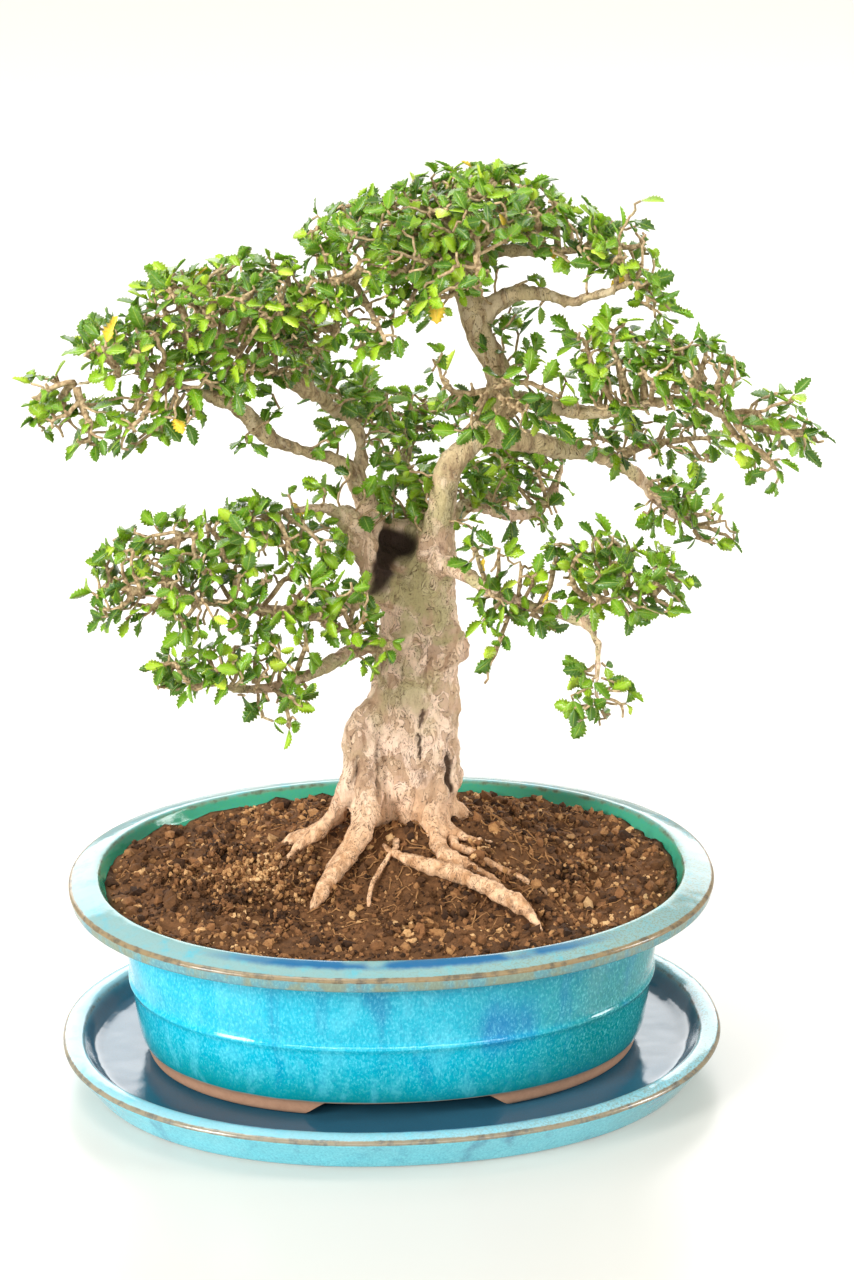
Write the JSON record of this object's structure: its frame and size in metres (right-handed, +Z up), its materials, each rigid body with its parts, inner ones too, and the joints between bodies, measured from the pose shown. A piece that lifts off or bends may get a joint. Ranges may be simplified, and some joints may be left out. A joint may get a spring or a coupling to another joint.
{
  "type": "potted bonsai tree",
  "caption": "Small-leaved bonsai elm with a thick trunk, bared surface roots and layered pads of foliage, growing in an oval glazed pot that stands on a matching oval drip tray.",
  "frame": {"origin": "centre of the drip tray's flat underside, on the surface that the object stands on", "axes": "+Z up along the trunk, +X along the pot's length, -Y towards the tree's front"},
  "size_m": [0.2377, 0.156, 0.2843],
  "materials": {
    "glaze": "glossy turquoise glaze",
    "mesh_plastic": "matte black plastic",
    "soil": "loose brown potting mix",
    "bark": "rough tan bark",
    "leaf": "half-glossy green leaves"
  },
  "bodies": {
    "root": {"drip_tray": "glaze", "pot": "glaze", "drain_mesh_left": "mesh_plastic", "drain_mesh_right": "mesh_plastic", "soil": "soil", "tree_wood": "bark", "foliage_crown": "leaf", "foliage_upper_left": "leaf", "foliage_left_tip": "leaf", "foliage_back_left": "leaf", "foliage_centre": "leaf", "foliage_right_upper": "leaf", "foliage_right_middle": "leaf", "foliage_right_tip": "leaf", "foliage_right_low_tip": "leaf", "foliage_back_right": "leaf", "foliage_back": "leaf", "foliage_low_left": "leaf", "foliage_low_left_under": "leaf", "foliage_low_left_inner": "leaf", "foliage_low_right": "leaf", "foliage_hanging": "leaf"}
  },
  "joints": []
}
